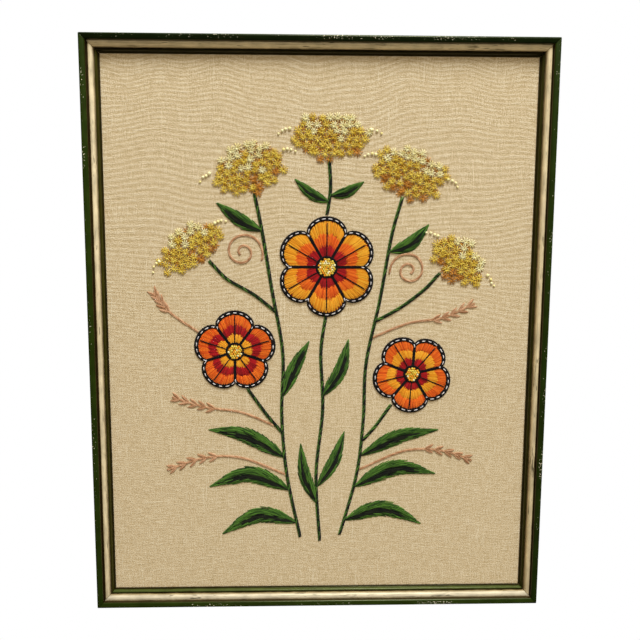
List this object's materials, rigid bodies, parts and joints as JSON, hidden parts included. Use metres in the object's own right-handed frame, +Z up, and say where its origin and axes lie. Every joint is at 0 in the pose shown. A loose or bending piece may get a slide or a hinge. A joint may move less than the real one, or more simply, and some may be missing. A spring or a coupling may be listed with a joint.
{
  "type": "framed embroidery",
  "caption": "Upright wall picture: wool needlework of blossoms, flower heads and leaves on a stretched linen sheet, held in a narrow mitred moulding with a rebate.",
  "frame": {"origin": "middle of the top rail's flat back face, where the picture hangs on the wall", "axes": "+Z up along the picture's height, +X to the viewer's right, +Y into the wall; the picture faces -Y"},
  "size_m": [0.43, 0.022, 0.54],
  "materials": {
    "frame_paint": "moulded wood painted dark green with one cream band, satin, bare on the back",
    "linen": "slubby plain weave, matte",
    "wool_orange": "matte twisted wool",
    "wool_red": "matte twisted wool",
    "wool_amber": "matte twisted wool",
    "wool_yellow": "matte twisted wool",
    "wool_cream": "matte twisted wool",
    "wool_green": "matte twisted wool",
    "wool_dark_green": "matte twisted wool",
    "wool_black": "matte twisted wool",
    "wool_white": "matte twisted wool",
    "wool_tan": "matte twisted wool"
  },
  "bodies": {
    "root": {"rail_top": "frame_paint", "rail_bottom": "frame_paint", "rail_left": "frame_paint", "rail_right": "frame_paint", "linen": "linen", "blossom_centre": "wool_orange", "blossom_left": "wool_red", "blossom_right": "wool_amber", "head_far_left": "wool_yellow", "head_left": "wool_yellow", "head_top": "wool_yellow", "head_right": "wool_yellow", "head_far_right": "wool_yellow", "sprig_left": "wool_green", "sprig_centre": "wool_green", "sprig_right": "wool_green", "sprig_top": "wool_green", "ear_low_left": "wool_tan", "ear_mid_left": "wool_tan", "ear_high_left": "wool_tan", "ear_low_right": "wool_tan", "ear_high_right": "wool_tan", "tendril_left": "wool_tan", "tendril_right": "wool_tan"}
  },
  "joints": []
}
